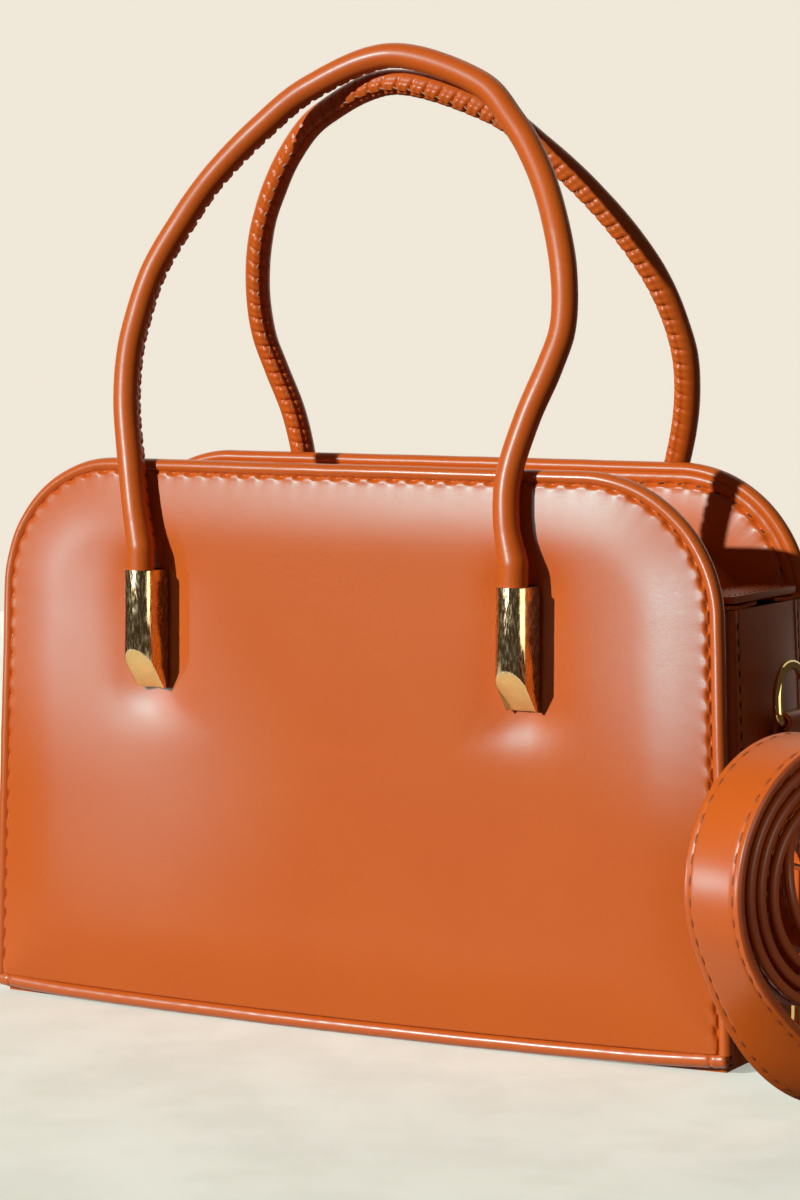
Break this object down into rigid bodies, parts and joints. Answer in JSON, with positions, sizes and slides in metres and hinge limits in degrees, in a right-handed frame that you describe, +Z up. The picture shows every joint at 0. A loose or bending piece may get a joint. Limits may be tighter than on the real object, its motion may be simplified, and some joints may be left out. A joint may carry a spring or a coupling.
{
  "type": "handbag",
  "caption": "Structured leather handbag with padded plates, zipped compartment, rolled handles on metal ferrules, side rings and a coiled clip-on strap.",
  "frame": {"origin": "middle of the base panel's underside, on the floor the bag stands on", "axes": "+X to the bag's right as seen from its front, -Y its front, +Z up"},
  "size_m": [0.3473, 0.1686, 0.2922],
  "materials": {
    "leather": "smooth glazed tan-orange leather",
    "lining": "brown woven lining",
    "board": "matt pressed fibre board",
    "foam": "matt foam sheet",
    "cord": "matt filler cord",
    "tape": "woven zip tape",
    "gold": "polished gold plating"
  },
  "bodies": {
    "bag": {"front_panel": "leather", "back_panel": "leather", "front_padding": "foam", "back_padding": "foam", "front_board": "board", "back_board": "board", "front_facing": "leather", "back_facing": "leather", "front_edge_roll": "leather", "back_edge_roll": "leather", "front_foot_welt": "leather", "back_foot_welt": "leather", "base_panel": "leather", "base_board": "board", "right_gusset": "leather", "left_gusset": "leather", "lining": "lining", "front_zip_facing": "leather", "back_zip_facing": "leather", "front_zip_tape": "tape", "back_zip_tape": "tape", "front_zip_teeth": "gold", "back_zip_teeth": "gold", "right_zip_end_tab": "leather", "left_zip_end_tab": "leather", "front_left_ferrule": "gold", "front_right_ferrule": "gold", "back_left_ferrule": "gold", "back_right_ferrule": "gold", "front_left_screw": "gold", "front_right_screw": "gold", "back_left_screw": "gold", "back_right_screw": "gold", "right_ring_tab": "leather", "left_ring_tab": "leather"},
    "front_handle_body": {"front_handle": "leather", "front_handle_core": "cord"},
    "back_handle_body": {"back_handle": "leather", "back_handle_core": "cord"},
    "right_ring_body": {"right_ring": "gold"},
    "left_ring_body": {"left_ring": "gold"},
    "zip_slider_body": {"zip_slider": "gold"},
    "zip_pull_body": {"zip_pull": "gold"},
    "strap_body": {"strap": "leather", "inner_strap_loop": "leather", "outer_strap_loop": "leather"},
    "inner_eye_body": {"inner_hook_eye": "gold"},
    "outer_eye_body": {"outer_hook_eye": "gold"},
    "inner_hook_body": {"inner_hook": "gold"},
    "outer_hook_body": {"outer_hook": "gold"},
    "inner_gate_body": {"inner_hook_gate": "gold"},
    "outer_gate_body": {"outer_hook_gate": "gold"}
  },
  "joints": [
    {"name": "front_handle_hinge", "type": "hinge", "parent": "bag", "child": "front_handle_body", "pos_m": [0, -0.0457, 0.14], "axis": [1, 0, 0], "range_deg": [0, 80]},
    {"name": "back_handle_hinge", "type": "hinge", "parent": "bag", "child": "back_handle_body", "pos_m": [0, 0.0457, 0.14], "axis": [-1, 0, 0], "range_deg": [0, 80]},
    {"name": "right_ring_hinge", "type": "hinge", "parent": "bag", "child": "right_ring_body", "pos_m": [0.129, 0, 0.0975], "axis": [0, 1, 0], "range_deg": [0, 150]},
    {"name": "left_ring_hinge", "type": "hinge", "parent": "bag", "child": "left_ring_body", "pos_m": [-0.129, 0, 0.0975], "axis": [0, -1, 0], "range_deg": [0, 150]},
    {"name": "zip_slide", "type": "slide", "parent": "bag", "child": "zip_slider_body", "axis": [1, 0, 0], "range_m": [0, 0.105]},
    {"name": "pull_hinge", "type": "hinge", "parent": "zip_slider_body", "child": "zip_pull_body", "pos_m": [-0.055, 0, 0.1582], "axis": [0, -1, 0], "range_deg": [0, 120]},
    {"name": "strap_lift", "type": "slide", "parent": "bag", "child": "strap_body", "axis": [0, 0, 1], "range_m": [0, 0.2]},
    {"name": "inner_eye_hinge", "type": "hinge", "parent": "strap_body", "child": "inner_eye_body", "pos_m": [0.1483, -0.0578, 0.0573], "axis": [0.9327, -0.3454, -0.1041], "range_deg": [-60, 60]},
    {"name": "outer_eye_hinge", "type": "hinge", "parent": "strap_body", "child": "outer_eye_body", "pos_m": [0.1946, -0.0071, 0.0034], "axis": [0.9336, -0.3584, 0], "range_deg": [0, 90]},
    {"name": "inner_swivel", "type": "hinge", "parent": "inner_eye_body", "child": "inner_hook_body", "pos_m": [0.1483, -0.0578, 0.0573], "axis": [-0.0582, 0.1406, -0.9884], "continuous": true},
    {"name": "outer_swivel", "type": "hinge", "parent": "outer_eye_body", "child": "outer_hook_body", "pos_m": [0.1946, -0.0071, 0.0034], "axis": [0.3584, 0.9336, 0], "continuous": true},
    {"name": "inner_gate_hinge", "type": "hinge", "parent": "inner_hook_body", "child": "inner_gate_body", "pos_m": [0.14, -0.0522, 0.0364], "axis": [-0.3562, -0.9278, -0.111], "range_deg": [0, 30], "stiffness_Nm_per_rad": 0.004, "springref_deg": -20.05},
    {"name": "outer_gate_hinge", "type": "hinge", "parent": "outer_hook_body", "child": "outer_gate_body", "pos_m": [0.1955, 0.0161, 0.0034], "axis": [0, 0, -1], "range_deg": [0, 30], "stiffness_Nm_per_rad": 0.004, "springref_deg": -20.05}
  ]
}
